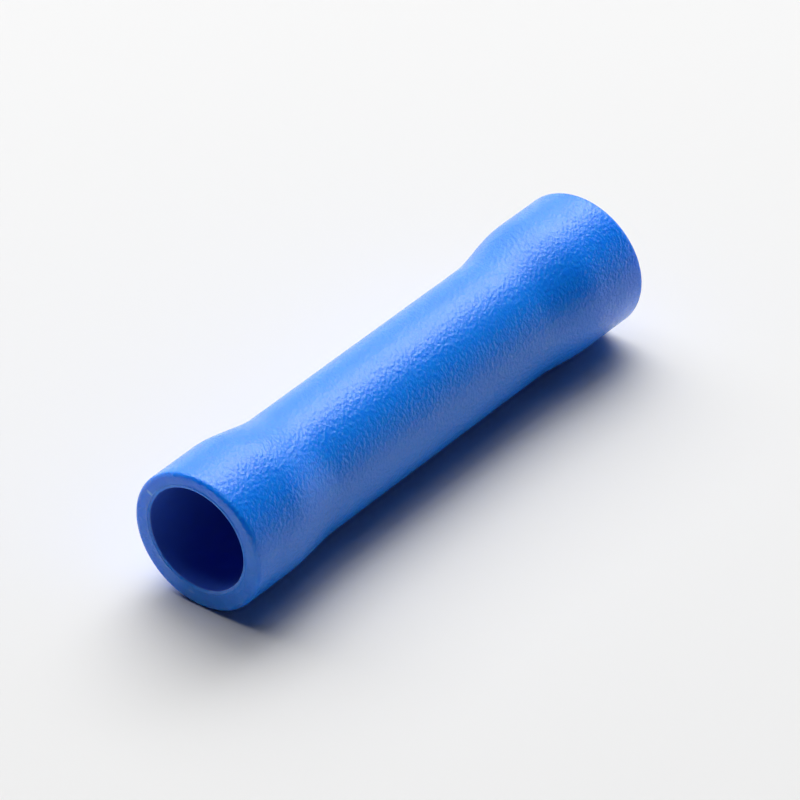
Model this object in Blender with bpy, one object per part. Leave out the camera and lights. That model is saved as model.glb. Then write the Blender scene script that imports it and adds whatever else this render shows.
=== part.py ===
"""Insulated butt splice connector for one wire at each end, lying on a table.

A soft plastic sleeve grips a tinned copper barrel. Each bare wire end goes in at a mouth, down the
funnel and into the barrel, as far as the stop pressed into the barrel's middle.

Metres, +X along the tube and +Z up. The origin is on the table under the middle of the tube.
Angles round the tube are measured about +X, from +Y towards +Z.
"""

import math

import bpy
import bmesh
from mathutils import Vector

UP = math.radians(90)
DOWN = math.radians(270)

# Barrel sizes
BARREL_LENGTH = 0.0150
BARREL_BORE = 0.0023
BARREL_WALL = 0.0008
LEAD_IN_DEPTH = 0.0004
LEAD_IN_WIDTH = 0.00025
BARREL_EDGE = 0.00012

# The stop is a dimple punched into one side of the barrel, half way along
STOP_DEPTH = 0.0007
STOP_LENGTH = 0.0026
STOP_SPREAD = math.radians(110)
STOP_SIDE = UP

# The barrel is rolled from strip, and its edges meet in a seam opposite the stop
SEAM_SIDE = DOWN
SEAM_WIDTH = 0.00014
SEAM_DEPTH = 0.00009

# Sleeve sizes
ENTRY_DEPTH = 0.0050
MOUTH_LENGTH = 0.00265
MOUTH_RISE = 0.00025
SLEEVE_WALL = 0.00071
MOUTH_WALL = 0.00079
FLARE_LAP = 0.0009
OUTER_EDGE = 0.00020
INNER_EDGE = 0.00008

# The sleeve grips the barrel all round, so this gap is only what keeps the two meshes apart
GRIP_GAP = 0.00005

# The extruded tube's wall is thinner on one side, which gives more where a mouth is opened out. The
# heavier side is the one that the connector comes to rest on.
WALL_OFFSET = 0.00015
THIN_SIDE = UP

# Both soft mouths are a little wider than high
MOUTH_OVAL = 0.014

# Facets
SLEEVE_SIDES = 64
BARREL_SIDES = 48
FLARE_RINGS = 9
STOP_RINGS = 12
EDGE_RINGS = 3

barrel_radius = BARREL_BORE / 2 + BARREL_WALL
half_barrel = BARREL_LENGTH / 2
half_sleeve = half_barrel + ENTRY_DEPTH
flare_start = half_barrel - FLARE_LAP
flare_end = half_sleeve - MOUTH_LENGTH
waist_bore_radius = barrel_radius + GRIP_GAP
waist_radius = waist_bore_radius + SLEEVE_WALL
mouth_bore_radius = waist_bore_radius + MOUTH_RISE
mouth_radius = mouth_bore_radius + MOUTH_WALL


def clear_scene():
    for thing in list(bpy.data.objects):
        bpy.data.objects.remove(thing)


def plain_material(name, colour, roughness, metallic):
    material = bpy.data.materials.new(name)
    material.use_nodes = True
    shader = material.node_tree.nodes["Principled BSDF"]
    shader.inputs["Base Color"].default_value = (*colour, 1.0)
    shader.inputs["Roughness"].default_value = roughness
    shader.inputs["Metallic"].default_value = metallic
    return material


def outwards(angle):
    """The direction across the tube at this angle."""
    return Vector((0.0, math.cos(angle), math.sin(angle)))


def turned_between(a, b):
    """The smaller angle between two directions, from 0 to pi."""
    return abs((a - b + math.pi) % (2 * math.pi) - math.pi)


def rounded_edge(size):
    """Depth below an end face and inset from the wall of each ring round an edge, from the wall on."""
    steps = [math.pi / 2 * k / EDGE_RINGS for k in range(EDGE_RINGS + 1)]
    return [(size * (1 - math.sin(turn)), size * (1 - math.cos(turn))) for turn in steps]


def loft_closed(name, rings, material):
    """A solid skinned through rings of points, where the last ring joins the first."""
    mesh = bmesh.new()
    loops = [[mesh.verts.new(point) for point in ring] for ring in rings]
    for near, far in zip(loops, loops[1:] + loops[:1]):
        for k in range(len(near)):
            after = (k + 1) % len(near)
            mesh.faces.new((near[k], near[after], far[after], far[k]))
    data = bpy.data.meshes.new(name)
    mesh.to_mesh(data)
    mesh.free()
    data.materials.append(material)
    data.shade_smooth()
    data.set_sharp_from_angle(angle=math.radians(35))
    thing = bpy.data.objects.new(name, data)
    bpy.context.scene.collection.objects.link(thing)
    return thing


# Insulating sleeve: a plastic tube, narrow where it grips the barrel and opened out at both mouths

sleeve_angles = [math.pi / SLEEVE_SIDES * (2 * k + 1) for k in range(SLEEVE_SIDES)]


def out_of_round(angle, flare):
    """The radius at this angle as a share of the round one. The waist, with no flare, is round."""
    return 1 + MOUTH_OVAL * flare * math.cos(2 * angle)


# The mouths lie on the table, so the tube's axis is as high as their outline is deep below it
axis_height = max(-math.sin(angle) * mouth_radius * out_of_round(angle, 1.0) for angle in sleeve_angles)


def on_axis(x):
    return Vector((x, 0.0, axis_height))


def flare_at(x):
    """How far the tube has opened out at x: 0 along the waist and 1 at a mouth."""
    share = (abs(x) - flare_start) / (flare_end - flare_start)
    share = min(max(share, 0.0), 1.0)
    return share * share * (3 - 2 * share)


def sleeve_ring(x, waist_size, mouth_size, waist_shift, mouth_shift):
    """One ring of a face of the tube, with its radius and its shift to the thin side at both places."""
    flare = flare_at(x)
    radius = waist_size + (mouth_size - waist_size) * flare
    centre = on_axis(x) + outwards(THIN_SIDE) * (waist_shift + (mouth_shift - waist_shift) * flare)
    return [centre + outwards(angle) * radius * out_of_round(angle, flare) for angle in sleeve_angles]


def outer_ring(x, inset):
    return sleeve_ring(x, waist_radius, mouth_radius - inset, -WALL_OFFSET, 0.0)


def inner_ring(x, inset):
    return sleeve_ring(x, waist_bore_radius, mouth_bore_radius + inset, 0.0, WALL_OFFSET)


def half_profile(edge):
    """Place and inset of each ring on one half of a face, from the waist to the rim."""
    step = (flare_end - flare_start) / FLARE_RINGS
    flare = [(flare_start + step * k, 0.0) for k in range(FLARE_RINGS + 1)]
    return flare + [(half_sleeve - depth, inset) for depth, inset in rounded_edge(edge)]


def insulating_sleeve():
    outer = half_profile(OUTER_EDGE)
    inner = half_profile(INNER_EDGE)
    rings = [outer_ring(-x, inset) for x, inset in reversed(outer)]
    rings += [outer_ring(x, inset) for x, inset in outer]
    rings += [inner_ring(x, inset) for x, inset in reversed(inner)]
    rings += [inner_ring(-x, inset) for x, inset in inner]
    plastic = plain_material("blue_plastic", (0.006, 0.13, 0.60), 0.42, 0.0)
    return loft_closed("insulating_sleeve", rings, plastic)


# Crimp barrel: tinned copper strip rolled into a tube, with a pressed stop and a lead-in at each end

def stop_press(x, angle):
    """How far the punch that makes the stop moves the wall across the barrel."""
    along = x / (STOP_LENGTH / 2)
    around = turned_between(angle, STOP_SIDE) / (STOP_SPREAD / 2)
    reach = min(math.hypot(along, around), 1.0)
    return STOP_DEPTH * math.cos(reach * math.pi / 2) ** 2


def barrel_angles():
    """Even steps round the barrel, with the seam's root and its two lips in place of one of them."""
    half_seam = SEAM_WIDTH / 2 / barrel_radius
    step = 2 * math.pi / BARREL_SIDES
    even = [SEAM_SIDE + step * k for k in range(BARREL_SIDES)]
    kept = [angle for angle in even if turned_between(angle, SEAM_SIDE) > half_seam + step / 4]
    return [SEAM_SIDE, SEAM_SIDE + half_seam] + kept + [SEAM_SIDE + 2 * math.pi - half_seam]


def barrel_ring(x, radius, seam_way):
    """One ring of the barrel. The seam sinks into the wall: -1 on its outside and +1 in its bore."""
    points = []
    for k, angle in enumerate(barrel_angles()):
        reach = radius + (seam_way * SEAM_DEPTH if k == 0 else 0.0)
        press = outwards(STOP_SIDE) * stop_press(x, angle)
        points.append(on_axis(x) + outwards(angle) * reach - press)
    return points


def crimp_barrel():
    bore = BARREL_BORE / 2
    stop = [STOP_LENGTH * (k / STOP_RINGS - 0.5) for k in range(STOP_RINGS + 1)]
    edge = [(half_barrel - depth, barrel_radius - inset) for depth, inset in rounded_edge(BARREL_EDGE)]
    lead_in = [(half_barrel, bore + LEAD_IN_WIDTH), (half_barrel - LEAD_IN_DEPTH, bore)]
    rings = [barrel_ring(-x, radius, -1) for x, radius in reversed(edge)]
    rings += [barrel_ring(x, barrel_radius, -1) for x in stop]
    rings += [barrel_ring(x, radius, -1) for x, radius in edge]
    rings += [barrel_ring(x, radius, 1) for x, radius in lead_in]
    rings += [barrel_ring(x, bore, 1) for x in reversed(stop)]
    rings += [barrel_ring(-x, radius, 1) for x, radius in reversed(lead_in)]
    tin = plain_material("tinned_copper", (0.62, 0.62, 0.60), 0.32, 1.0)
    return loft_closed("crimp_barrel", rings, tin)


clear_scene()
insulating_sleeve()
crimp_barrel()
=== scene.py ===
"""Insulated butt splice connector, lying on a white table in soft light from above and behind.

Metres, +X along the tube and +Z up, as in the frame. Angles round the tube are measured about +X,
from +Y towards +Z.
"""

import math

import bpy
import bmesh
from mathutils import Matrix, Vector, noise


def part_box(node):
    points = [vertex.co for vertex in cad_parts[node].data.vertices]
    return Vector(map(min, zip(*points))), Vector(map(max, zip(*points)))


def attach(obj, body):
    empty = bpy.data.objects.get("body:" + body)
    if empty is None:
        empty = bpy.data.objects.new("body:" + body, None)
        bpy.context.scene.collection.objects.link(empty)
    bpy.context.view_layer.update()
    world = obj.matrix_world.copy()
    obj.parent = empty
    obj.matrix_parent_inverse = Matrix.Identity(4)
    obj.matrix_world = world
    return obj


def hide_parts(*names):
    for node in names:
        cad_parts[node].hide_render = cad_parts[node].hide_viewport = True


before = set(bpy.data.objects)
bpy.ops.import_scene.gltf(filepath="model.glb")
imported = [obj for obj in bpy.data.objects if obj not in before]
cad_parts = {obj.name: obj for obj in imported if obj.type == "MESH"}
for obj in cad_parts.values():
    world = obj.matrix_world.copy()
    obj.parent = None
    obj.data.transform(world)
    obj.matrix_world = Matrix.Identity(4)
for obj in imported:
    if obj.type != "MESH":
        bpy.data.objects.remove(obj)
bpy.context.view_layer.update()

# Places and sizes that the frame gives
sleeve_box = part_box("insulating_sleeve")
barrel_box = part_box("crimp_barrel")
half_sleeve = sleeve_box[1].x
half_barrel = barrel_box[1].x
axis_height = (barrel_box[0].z + barrel_box[1].z) / 2
barrel_radius = (barrel_box[1].z - barrel_box[0].z) / 2

UP = math.radians(90)
DOWN = math.radians(270)

# Sleeve sizes, as in the solid that this replaces
GRIP_GAP = 0.00005
SLEEVE_WALL = 0.00071
MOUTH_WALL = 0.00079
MOUTH_RISE = 0.00025
MOUTH_LENGTH = 0.00265
FLARE_LAP = 0.0009
OUTER_EDGE = 0.00020
INNER_EDGE = 0.00008
WALL_OFFSET = 0.00015
THIN_SIDE = UP
MOUTH_OVAL = 0.014

# Slight waves in the sleeve's outer wall
WAVE_LONG = 0.0011
WAVE_WIDE = 0.0013
WAVE_HEIGHT = 0.000004

# Barrel sizes, as in the solid that this replaces
BARREL_BORE = 0.0023
LEAD_IN_DEPTH = 0.0004
LEAD_IN_WIDTH = 0.00025
BARREL_EDGE = 0.00012
STOP_DEPTH = 0.0007
STOP_LENGTH = 0.0026
STOP_SPREAD = math.radians(110)
STOP_SIDE = UP
SEAM_SIDE = DOWN
SEAM_WIDTH = 0.00014
SEAM_DEPTH = 0.00009

# The cutter left a fine lip round each hole. Two small spots on the near rim are paler than the plastic
# around them. A spot has its full share out to its core, which is a share of its size, and fades to
# nothing at its edge.
LIP_WIDTH = 0.00012
LIP_HEIGHT = 0.00003
LIP_RINGS = 8
MARK_COLOUR = (0.22, 0.52, 1.00, 1.0)
MARK_DEPTH = 0.0002
MARK_CORE = 0.4
MARKS = [
    {"reach": 0.00266, "angle": math.radians(31), "length": 0.00020, "width": 0.00009, "share": 1.0},
    {"reach": 0.00246, "angle": math.radians(277), "length": 0.00008, "width": 0.00020, "share": 0.20},
]

# Camera
CAMERA_AIM = (0.00008, -0.00015, 0.00281)
CAMERA_DISTANCE = 0.2450
CAMERA_SIDE = math.radians(-52.35)
CAMERA_HEIGHT = math.radians(34.77)
SENSOR_WIDTH = 36.0
LENS = 278.32
CLIP_NEAR = 0.01
CLIP_FAR = 20.0

# Fineness of the meshes
SLEEVE_SIDES = 224
OUTER_STEP = 0.00014
INNER_STEP = 0.00028
RIM_RINGS = 8
EDGE_RINGS = 6
BARREL_SIDES = 160
BARREL_STEP = 0.00030
STOP_STEP = 0.00010
CREASE = math.radians(30)

flare_start = half_barrel - FLARE_LAP
flare_end = half_sleeve - MOUTH_LENGTH
waist_bore_radius = barrel_radius + GRIP_GAP
waist_radius = waist_bore_radius + SLEEVE_WALL
mouth_bore_radius = waist_bore_radius + MOUTH_RISE
mouth_radius = mouth_bore_radius + MOUTH_WALL
half_seam = SEAM_WIDTH / 2 / barrel_radius


def outwards(angle):
    """The direction across the tube at this angle."""
    return Vector((0.0, math.cos(angle), math.sin(angle)))


def on_axis(x):
    return Vector((x, 0.0, axis_height))


def turned_between(a, b):
    """The smaller angle between two directions, from 0 to pi."""
    return abs((a - b + math.pi) % (2 * math.pi) - math.pi)


def rounded_edge(size):
    """Depth below an end face and inset from the wall of each ring round an edge, from the wall on."""
    steps = [math.pi / 2 * k / EDGE_RINGS for k in range(EDGE_RINGS + 1)]
    return [(size * (1 - math.sin(turn)), size * (1 - math.cos(turn))) for turn in steps]


def evenly(start, end, step):
    """Places from start to end, about a step apart, both ends among them."""
    count = max(1, round(abs(end - start) / step))
    return [start + (end - start) * k / count for k in range(count + 1)]


def loft_closed(name, rings):
    """A solid skinned through rings of points, where the last ring joins the first."""
    mesh = bmesh.new()
    loops = [[mesh.verts.new(point) for point in ring] for ring in rings]
    for near, far in zip(loops, loops[1:] + loops[:1]):
        for k in range(len(near)):
            after = (k + 1) % len(near)
            mesh.faces.new((near[k], near[after], far[after], far[k]))
    data = bpy.data.meshes.new(name)
    mesh.to_mesh(data)
    mesh.free()
    data.shade_smooth()
    thing = bpy.data.objects.new(name, data)
    bpy.context.scene.collection.objects.link(thing)
    return thing


# Sleeve

sleeve_angles = [2 * math.pi * k / SLEEVE_SIDES for k in range(SLEEVE_SIDES)]


def flare_at(x):
    """How far the tube has opened out at x: 0 along the waist and 1 at a mouth."""
    share = (abs(x) - flare_start) / (flare_end - flare_start)
    share = min(max(share, 0.0), 1.0)
    return share * share * (3 - 2 * share)


def out_of_round(angle, flare):
    """The radius at this angle as a share of the round one. The waist, with no flare, is round."""
    return 1 + MOUTH_OVAL * flare * math.cos(2 * angle)


def wall_wave(x, angle):
    """How far the wall stands in or out at this place, as the soft tube was drawn and opened out."""
    across = outwards(angle)
    waves = mouth_radius / WAVE_WIDE
    place = Vector((x / WAVE_LONG, across.y * waves, across.z * waves))
    return WAVE_HEIGHT * noise.noise(place)


def sleeve_ring(x, waist_size, mouth_size, waist_shift, mouth_shift, wave=0.0):
    """One ring of a face of the tube, with its radius and its shift to the thin side at both places."""
    flare = flare_at(x)
    radius = waist_size + (mouth_size - waist_size) * flare
    centre = on_axis(x) + outwards(THIN_SIDE) * (waist_shift + (mouth_shift - waist_shift) * flare)
    points = []
    for angle in sleeve_angles:
        reach = radius * out_of_round(angle, flare) + wave * wall_wave(x, angle)
        point = centre + outwards(angle) * reach
        # No wave reaches below the table
        point.z = max(point.z, 0.0)
        points.append(point)
    return points


def outer_ring(x, inset):
    return sleeve_ring(x, waist_radius, mouth_radius - inset, -WALL_OFFSET, 0.0, wave=1.0)


def inner_ring(x, inset):
    return sleeve_ring(x, waist_bore_radius, mouth_bore_radius + inset, 0.0, WALL_OFFSET)


def rim_rings(way):
    """The rings across the flat rim of one mouth, from its outer edge over the lip to the hole."""
    outside = outer_ring(way * half_sleeve, OUTER_EDGE)
    inside = inner_ring(way * half_sleeve, INNER_EDGE + LIP_WIDTH)
    rings = []
    for k in range(1, RIM_RINGS + 1):
        share = k / RIM_RINGS
        rings.append([a.lerp(b, share) for a, b in zip(outside, inside)])
    for k in range(1, LIP_RINGS):
        share = k / LIP_RINGS
        rise = LIP_HEIGHT * math.sin(share * math.pi) ** 2
        rings.append(inner_ring(way * (half_sleeve + rise), INNER_EDGE + LIP_WIDTH * (1 - share)))
    return rings


def make_sleeve():
    """Rings along the outside, over the rim at +X, back through the bore and over the rim at -X."""
    outer_edge = [(half_sleeve - depth, inset) for depth, inset in rounded_edge(OUTER_EDGE)]
    inner_edge = [(half_sleeve - depth, inset) for depth, inset in rounded_edge(INNER_EDGE)]
    outer_end = half_sleeve - OUTER_EDGE
    inner_end = half_sleeve - INNER_EDGE
    rings = [outer_ring(-x, inset) for x, inset in reversed(outer_edge)]
    rings += [outer_ring(x, 0.0) for x in evenly(-outer_end, outer_end, OUTER_STEP)[1:-1]]
    rings += [outer_ring(x, inset) for x, inset in outer_edge]
    rings += rim_rings(1)
    rings += [inner_ring(x, inset) for x, inset in reversed(inner_edge)]
    rings += [inner_ring(x, 0.0) for x in evenly(inner_end, -inner_end, INNER_STEP)[1:-1]]
    rings += [inner_ring(-x, inset) for x, inset in inner_edge]
    rings += reversed(rim_rings(-1))
    return loft_closed("soft_sleeve", rings)


# Barrel

def stop_press(x, angle):
    """How far the punch that makes the stop moves the wall across the barrel."""
    along = x / (STOP_LENGTH / 2)
    around = turned_between(angle, STOP_SIDE) / (STOP_SPREAD / 2)
    reach = min(math.hypot(along, around), 1.0)
    return STOP_DEPTH * math.cos(reach * math.pi / 2) ** 2


def seam_dip(angle):
    """How deep the butted seam is at this angle, from 0 to 1."""
    return max(0.0, 1 - turned_between(angle, SEAM_SIDE) / half_seam)


def barrel_angles():
    """Even steps round the barrel, with the seam's root and its two lips in place of one of them."""
    step = 2 * math.pi / BARREL_SIDES
    even = [SEAM_SIDE + step * k for k in range(BARREL_SIDES)]
    kept = [angle for angle in even if turned_between(angle, SEAM_SIDE) > half_seam + step / 4]
    return [SEAM_SIDE, SEAM_SIDE + half_seam] + kept + [SEAM_SIDE + 2 * math.pi - half_seam]


def barrel_ring(x, radius, seam_way):
    """One ring of the barrel. The seam sinks into the wall: -1 on its outside and +1 in its bore."""
    points = []
    for angle in barrel_angles():
        reach = radius + seam_way * SEAM_DEPTH * seam_dip(angle)
        press = outwards(STOP_SIDE) * stop_press(x, angle)
        points.append(on_axis(x) + outwards(angle) * reach - press)
    return points


def make_barrel():
    """Rings along the outside, over the end at +X, back through the bore and out at -X."""
    bore = BARREL_BORE / 2
    half_stop = STOP_LENGTH / 2
    edge = [(half_barrel - depth, barrel_radius - inset) for depth, inset in rounded_edge(BARREL_EDGE)]
    lead_in = [(half_barrel, bore + LEAD_IN_WIDTH), (half_barrel - LEAD_IN_DEPTH, bore)]
    side = evenly(edge[0][0], half_stop, BARREL_STEP)[1:-1]
    middle = evenly(-half_stop, half_stop, STOP_STEP)
    rings = [barrel_ring(-x, radius, -1) for x, radius in reversed(edge)]
    rings += [barrel_ring(-x, barrel_radius, -1) for x in side]
    rings += [barrel_ring(x, barrel_radius, -1) for x in middle]
    rings += [barrel_ring(x, barrel_radius, -1) for x in reversed(side)]
    rings += [barrel_ring(x, radius, -1) for x, radius in edge]
    rings += [barrel_ring(x, radius, 1) for x, radius in lead_in]
    rings += [barrel_ring(x, bore, 1) for x in side[1:]]
    rings += [barrel_ring(x, bore, 1) for x in reversed(middle)]
    rings += [barrel_ring(-x, bore, 1) for x in reversed(side[1:])]
    rings += [barrel_ring(-x, radius, 1) for x, radius in reversed(lead_in)]
    barrel = loft_closed("tin_barrel", rings)
    barrel.data.set_sharp_from_angle(angle=CREASE)
    return barrel


# Materials

VINYL_COLOUR = (0.005, 0.226, 0.95, 1.0)
VINYL_ROUGHNESS = (0.18, 0.24)
GLOW_SHARE = 0.55
GLOW_COLOUR = (0.10, 0.35, 1.0)
GLOW_DEPTH = 0.0008
GRAIN_CELL = (0.00019, 0.00012, 0.00014)
GRAIN_TURN = math.radians(50)
GRAIN_HEIGHT = 0.000042
RIPPLE_CELL = (0.0007, 0.0008, 0.0008)
RIPPLE_HEIGHT = 0.000004

# Painted shade: the bore's colour is darker than the outside's, for the shade deep in the tube, and
# greyer, for a faint painted haze of light
BORE_SHADE_COLOUR = (0.040, 0.130, 0.68, 1.0)
BORE_ROUGHNESS = (0.34, 0.50)
STREAK_CELL = (0.0012, 0.00025, 0.00025)
STREAK_HEIGHT = 0.000006

# A face is part of the bore's wall, and takes the painted shade, where it faces the axis at least this
# squarely, from 0 to 1
BORE_FACING = 0.7

TIN_COLOUR = (0.66, 0.65, 0.62, 1.0)
TIN_ROUGHNESS = (0.22, 0.42)
LINE_CELL = (0.0017, 0.00007, 0.00007)
LINE_HEIGHT = 0.000003
BLOTCH_CELL = (0.0011, 0.0011, 0.0011)


def new_material(name):
    material = bpy.data.materials.new(name)
    material.use_nodes = True
    return material, material.node_tree.nodes, material.node_tree.links


def scaled_place(nodes, links, cell, turn=0.0):
    """Object coordinates in cells of this size along each axis, turned about Z."""
    place = nodes.new("ShaderNodeTexCoord")
    mapping = nodes.new("ShaderNodeMapping")
    mapping.vector_type = "TEXTURE"
    mapping.inputs["Rotation"].default_value = (0.0, 0.0, turn)
    mapping.inputs["Scale"].default_value = cell
    links.new(place.outputs["Object"], mapping.inputs["Vector"])
    return mapping.outputs["Vector"]


def noise_at(nodes, links, place, detail):
    texture = nodes.new("ShaderNodeTexNoise")
    texture.inputs["Scale"].default_value = 1.0
    texture.inputs["Detail"].default_value = detail
    links.new(place, texture.inputs["Vector"])
    return texture.outputs["Fac"]


def spread(nodes, links, value, ends):
    """A value from 0 to 1 spread from the first of the two ends to the second."""
    ranged = nodes.new("ShaderNodeMapRange")
    ranged.inputs["To Min"].default_value = ends[0]
    ranged.inputs["To Max"].default_value = ends[1]
    links.new(value, ranged.inputs["Value"])
    return ranged.outputs["Result"]


def bump(nodes, links, height, distance, under=None):
    node = nodes.new("ShaderNodeBump")
    node.inputs["Strength"].default_value = 1.0
    node.inputs["Distance"].default_value = distance
    links.new(height, node.inputs["Height"])
    if under is not None:
        links.new(under, node.inputs["Normal"])
    return node.outputs["Normal"]


def mark_mask(nodes, links, mark):
    """How much a mark on the near rim covers this place: its share in the middle and 0 outside it."""
    centre = on_axis(-half_sleeve) + outwards(mark["angle"]) * mark["reach"]
    place = nodes.new("ShaderNodeTexCoord")
    mapping = nodes.new("ShaderNodeMapping")
    mapping.vector_type = "TEXTURE"
    mapping.inputs["Location"].default_value = centre
    mapping.inputs["Rotation"].default_value = (mark["angle"], 0.0, 0.0)
    mapping.inputs["Scale"].default_value = (MARK_DEPTH, mark["length"], mark["width"])
    distance = nodes.new("ShaderNodeVectorMath")
    distance.operation = "LENGTH"
    cover = nodes.new("ShaderNodeMapRange")
    cover.interpolation_type = "SMOOTHSTEP"
    cover.inputs["From Min"].default_value = MARK_CORE
    cover.inputs["To Min"].default_value = mark["share"]
    cover.inputs["To Max"].default_value = 0.0
    links.new(place.outputs["Object"], mapping.inputs["Vector"])
    links.new(mapping.outputs["Vector"], distance.inputs[0])
    links.new(distance.outputs["Value"], cover.inputs["Value"])
    return cover.outputs["Result"]


def marked(nodes, links, colour):
    """The plastic's colour, paler in the two small spots on the near rim."""
    mix = nodes.new("ShaderNodeMix")
    mix.data_type = "RGBA"
    # The node's sockets for each type of data share their names, so the ones for colours go by number
    mix.inputs[6].default_value = colour
    mix.inputs[7].default_value = MARK_COLOUR
    both = nodes.new("ShaderNodeMath")
    both.operation = "MAXIMUM"
    for socket, mark in zip(both.inputs, MARKS):
        links.new(mark_mask(nodes, links, mark), socket)
    links.new(both.outputs[0], mix.inputs[0])
    return mix.outputs[2]


def sleeve_plastic():
    """Soft blue vinyl: a little translucent, satin, with the fine grain and ripples of a drawn tube."""
    material, nodes, links = new_material("blue_vinyl")
    shader = nodes["Principled BSDF"]
    links.new(marked(nodes, links, VINYL_COLOUR), shader.inputs["Base Color"])
    shader.inputs["Subsurface Weight"].default_value = GLOW_SHARE
    shader.inputs["Subsurface Radius"].default_value = GLOW_COLOUR
    shader.inputs["Subsurface Scale"].default_value = GLOW_DEPTH
    fine = noise_at(nodes, links, scaled_place(nodes, links, GRAIN_CELL, GRAIN_TURN), 1.0)
    coarse = noise_at(nodes, links, scaled_place(nodes, links, RIPPLE_CELL), 1.0)
    ripples = bump(nodes, links, coarse, RIPPLE_HEIGHT)
    grain = bump(nodes, links, fine, GRAIN_HEIGHT, under=ripples)
    links.new(grain, shader.inputs["Normal"])
    links.new(spread(nodes, links, coarse, VINYL_ROUGHNESS), shader.inputs["Roughness"])
    return material


def bore_plastic_painted_shade():
    """The same vinyl inside the bore: duller, and darker in a painted shade for the little light that
    reaches in, with a faint painted haze.
    """
    material, nodes, links = new_material("blue_vinyl_bore_painted_shade")
    shader = nodes["Principled BSDF"]
    shader.inputs["Base Color"].default_value = BORE_SHADE_COLOUR
    streaks = noise_at(nodes, links, scaled_place(nodes, links, STREAK_CELL), 2.0)
    links.new(bump(nodes, links, streaks, STREAK_HEIGHT), shader.inputs["Normal"])
    links.new(spread(nodes, links, streaks, BORE_ROUGHNESS), shader.inputs["Roughness"])
    return material


def line_bore_with_painted_shade(sleeve, material):
    """Give the sleeve's inner wall this material, with its painted shade, as its second one."""
    sleeve.data.materials.append(material)
    for face in sleeve.data.polygons:
        across = face.center - on_axis(face.center.x)
        if face.normal.dot(across) < -BORE_FACING * across.length:
            face.material_index = 1


def barrel_metal():
    """Tin plate, with the fine lines of drawn strip along it."""
    material, nodes, links = new_material("tin_plate")
    shader = nodes["Principled BSDF"]
    shader.inputs["Base Color"].default_value = TIN_COLOUR
    shader.inputs["Metallic"].default_value = 1.0
    lines = noise_at(nodes, links, scaled_place(nodes, links, LINE_CELL), 3.0)
    blotches = noise_at(nodes, links, scaled_place(nodes, links, BLOTCH_CELL), 4.0)
    links.new(bump(nodes, links, lines, LINE_HEIGHT), shader.inputs["Normal"])
    links.new(spread(nodes, links, blotches, TIN_ROUGHNESS), shader.inputs["Roughness"])
    return material


def dress(piece, material, node):
    """Give a piece its material, and put it on the body in place of the solid of this name."""
    piece.data.materials.clear()
    piece.data.materials.append(material)
    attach(piece, "root")
    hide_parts(node)


# Table, lights and camera

TABLE_REACH = 3.0
TABLE_GREY = 0.82
ROOM_REACH = 1.6
CARD_GREY = 0.03
HAZE_STRENGTH = 0.12
WORLD_GLOW = 0.1
PANEL_HEIGHT = 0.6
CEILING_GAP = 0.02

# The panels overlap, so that the highlight is strongest in its heart. The fill isn't seen in gloss.
PANELS = [
    {"name": "heart", "sides": (0.10, 0.95), "ends": (0.10, 0.52), "strength": 3.6, "in_gloss": True},
    {"name": "core", "sides": (-0.02, 1.00), "ends": (-0.06, 0.85), "strength": 1.2, "in_gloss": True},
    {"name": "veil", "sides": (-0.04, 1.20), "ends": (-0.18, 1.20), "strength": 0.8, "in_gloss": True},
    {"name": "fill", "sides": (-0.16, 1.00), "ends": (0.00, 1.20), "strength": 2.6, "in_gloss": False},
]


def add_stage_sheet(name, corners, material):
    """A flat sheet through its corners, which isn't part of the object."""
    data = bpy.data.meshes.new(name)
    data.from_pydata(corners, [], [range(len(corners))])
    data.materials.append(material)
    sheet = bpy.data.objects.new(name, data)
    bpy.context.scene.collection.objects.link(sheet)
    return sheet


def wall(start, end, top):
    """The corners of an upright wall over this line of the table."""
    return [(*start, 0), (*end, 0), (*end, top), (*start, top)]


def matt(name, grey):
    material, nodes, _ = new_material(name)
    shader = nodes["Principled BSDF"]
    shader.inputs["Base Color"].default_value = (grey, grey, grey, 1.0)
    shader.inputs["Roughness"].default_value = 1.0
    shader.inputs["Specular IOR Level"].default_value = 0.0
    return material


def hazy_card(height):
    """A black card that is pale at its foot and fades upwards, as a far wall does."""
    material = matt("hazy_card", CARD_GREY)
    nodes, links = material.node_tree.nodes, material.node_tree.links
    shader = nodes["Principled BSDF"]
    place = nodes.new("ShaderNodeTexCoord")
    split = nodes.new("ShaderNodeSeparateXYZ")
    fade = nodes.new("ShaderNodeMapRange")
    fade.inputs["From Max"].default_value = height
    fade.inputs["To Min"].default_value = HAZE_STRENGTH
    fade.inputs["To Max"].default_value = 0.0
    links.new(place.outputs["Object"], split.inputs["Vector"])
    links.new(split.outputs["Z"], fade.inputs["Value"])
    shader.inputs["Emission Color"].default_value = (1.0, 1.0, 1.0, 1.0)
    links.new(fade.outputs["Result"], shader.inputs["Emission Strength"])
    return material


def white_surroundings():
    """White where the camera and gloss see it, and dim as a light."""
    world = bpy.data.worlds.new("studio")
    bpy.context.scene.world = world
    world.use_nodes = True
    nodes, links = world.node_tree.nodes, world.node_tree.links
    path = nodes.new("ShaderNodeLightPath")
    seen = nodes.new("ShaderNodeMath")
    seen.operation = "MAXIMUM"
    links.new(path.outputs["Is Camera Ray"], seen.inputs[0])
    links.new(path.outputs["Is Glossy Ray"], seen.inputs[1])
    through = nodes.new("ShaderNodeMath")
    through.operation = "MAXIMUM"
    links.new(seen.outputs[0], through.inputs[0])
    links.new(path.outputs["Is Transmission Ray"], through.inputs[1])
    strength = nodes.new("ShaderNodeMapRange")
    strength.inputs["To Min"].default_value = WORLD_GLOW
    strength.inputs["To Max"].default_value = 1.0
    links.new(through.outputs[0], strength.inputs["Value"])
    links.new(strength.outputs["Result"], nodes["Background"].inputs["Strength"])
    nodes["Background"].inputs["Color"].default_value = (1.0, 1.0, 1.0, 1.0)


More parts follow.
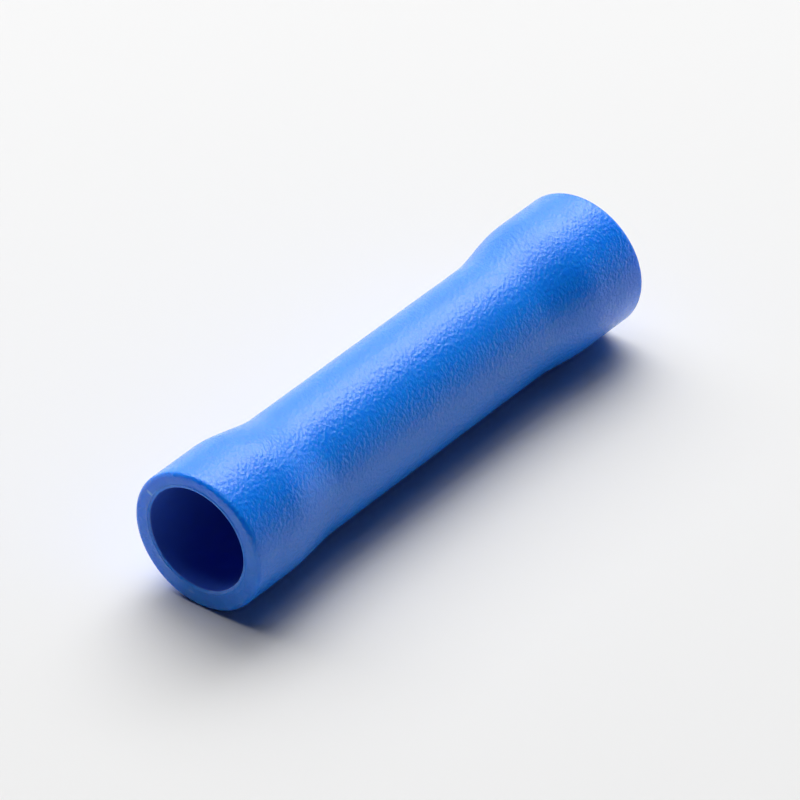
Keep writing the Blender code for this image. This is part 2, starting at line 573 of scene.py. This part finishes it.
def add_panel(panel):
    """A flat light over the table, from one x to another at its sides and one y to another at its ends."""
    sides, ends = panel["sides"], panel["ends"]
    light = bpy.data.lights.new(panel["name"], "AREA")
    light.shape = "RECTANGLE"
    light.size = sides[1] - sides[0]
    light.size_y = ends[1] - ends[0]
    light.energy = panel["strength"] * math.pi * light.size * light.size_y
    lamp = bpy.data.objects.new(panel["name"], light)
    bpy.context.scene.collection.objects.link(lamp)
    lamp.location = (sum(sides) / 2, sum(ends) / 2, PANEL_HEIGHT)
    lamp.visible_glossy = panel["in_gloss"]


def set_camera():
    data = bpy.data.cameras.new("camera")
    data.sensor_width = SENSOR_WIDTH
    data.lens = LENS
    data.clip_start = CLIP_NEAR
    data.clip_end = CLIP_FAR
    camera = bpy.data.objects.new("camera", data)
    bpy.context.scene.collection.objects.link(camera)
    level = math.cos(CAMERA_HEIGHT)
    back = Vector((
        math.sin(CAMERA_SIDE) * level,
        -math.cos(CAMERA_SIDE) * level,
        math.sin(CAMERA_HEIGHT),
    ))
    camera.location = Vector(CAMERA_AIM) + back * CAMERA_DISTANCE
    camera.rotation_euler = (-back).to_track_quat("-Z", "Y").to_euler()
    bpy.context.scene.camera = camera


def set_stage():
    t = TABLE_REACH
    table = [(-t, -t, 0), (t, -t, 0), (t, t, 0), (-t, t, 0)]
    add_stage_sheet("table", table, matt("white_table", TABLE_GREY))
    r = ROOM_REACH
    top = PANEL_HEIGHT + CEILING_GAP
    black = matt("black_card", CARD_GREY)
    # The roof is open over the quarter behind the connector, as the camera sees it
    roof = [(-r, -r, top), (r, -r, top), (r, 0, top), (0, 0, top), (0, r, top), (-r, r, top)]
    cards = [
        add_stage_sheet("left_card", wall((-r, -r), (-r, r), top), black),
        add_stage_sheet("front_card", wall((-r, -r), (r, -r), top), hazy_card(top)),
        add_stage_sheet("top_card", roof, black),
    ]
    for card in cards:
        card.visible_camera = False
    for panel in PANELS:
        add_panel(panel)
    white_surroundings()


set_camera()
sleeve = make_sleeve()
dress(sleeve, sleeve_plastic(), "insulating_sleeve")
line_bore_with_painted_shade(sleeve, bore_plastic_painted_shade())
dress(make_barrel(), barrel_metal(), "crimp_barrel")
set_stage()
bpy.context.scene.view_settings.view_transform = "Standard"
